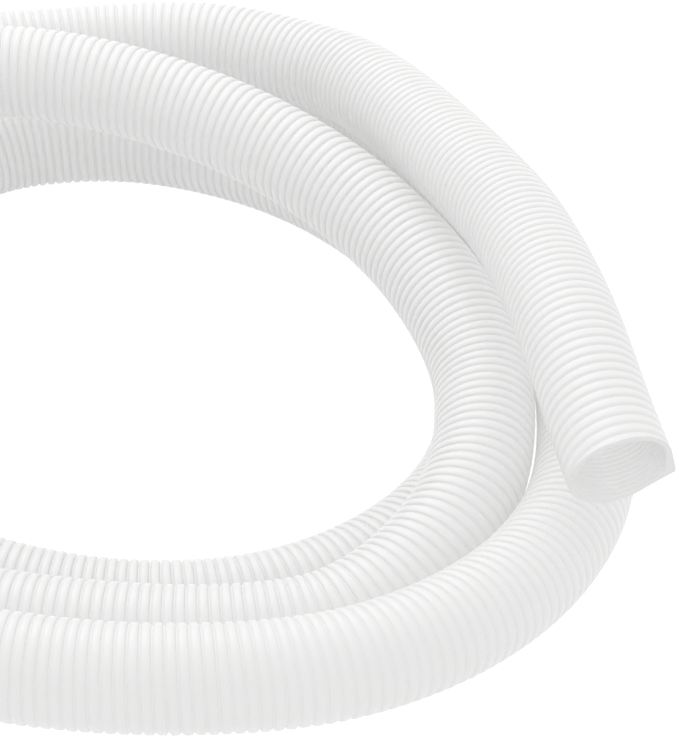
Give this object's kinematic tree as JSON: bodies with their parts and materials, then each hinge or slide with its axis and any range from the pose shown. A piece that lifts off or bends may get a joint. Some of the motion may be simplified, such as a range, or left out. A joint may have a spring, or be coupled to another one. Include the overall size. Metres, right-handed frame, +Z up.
{
  "type": "pool vacuum hose",
  "caption": "Ribbed white vacuum hose for a pool, coiled loosely on the floor, with a bare square-cut end and a swivel cuff on the other end.",
  "frame": {"origin": "on the floor, under the middle of the box round the whole coiled hose", "axes": "+X to the right, where the bare end lies, +Y to the back, +Z up; the bare end points to the front and to the right"},
  "size_m": [0.6232, 0.5324, 0.1483],
  "materials": {
    "hose": "satin, slightly translucent",
    "sleeve": "satin",
    "cuff": "satin",
    "seal": "matte"
  },
  "bodies": {
    "hose": {"hose_coil": "hose", "hose_end": "hose", "hose_tail": "hose", "hose_sleeve": "sleeve"},
    "cuff": {"swivel_cuff": "cuff", "cuff_ring": "cuff", "cuff_seal": "seal"}
  },
  "joints": [
    {"name": "cuff_swivel", "type": "hinge", "parent": "hose", "child": "cuff", "pos_m": [-0.28131, -0.18, 0.03045], "axis": [0, -1, 0], "continuous": true}
  ]
}
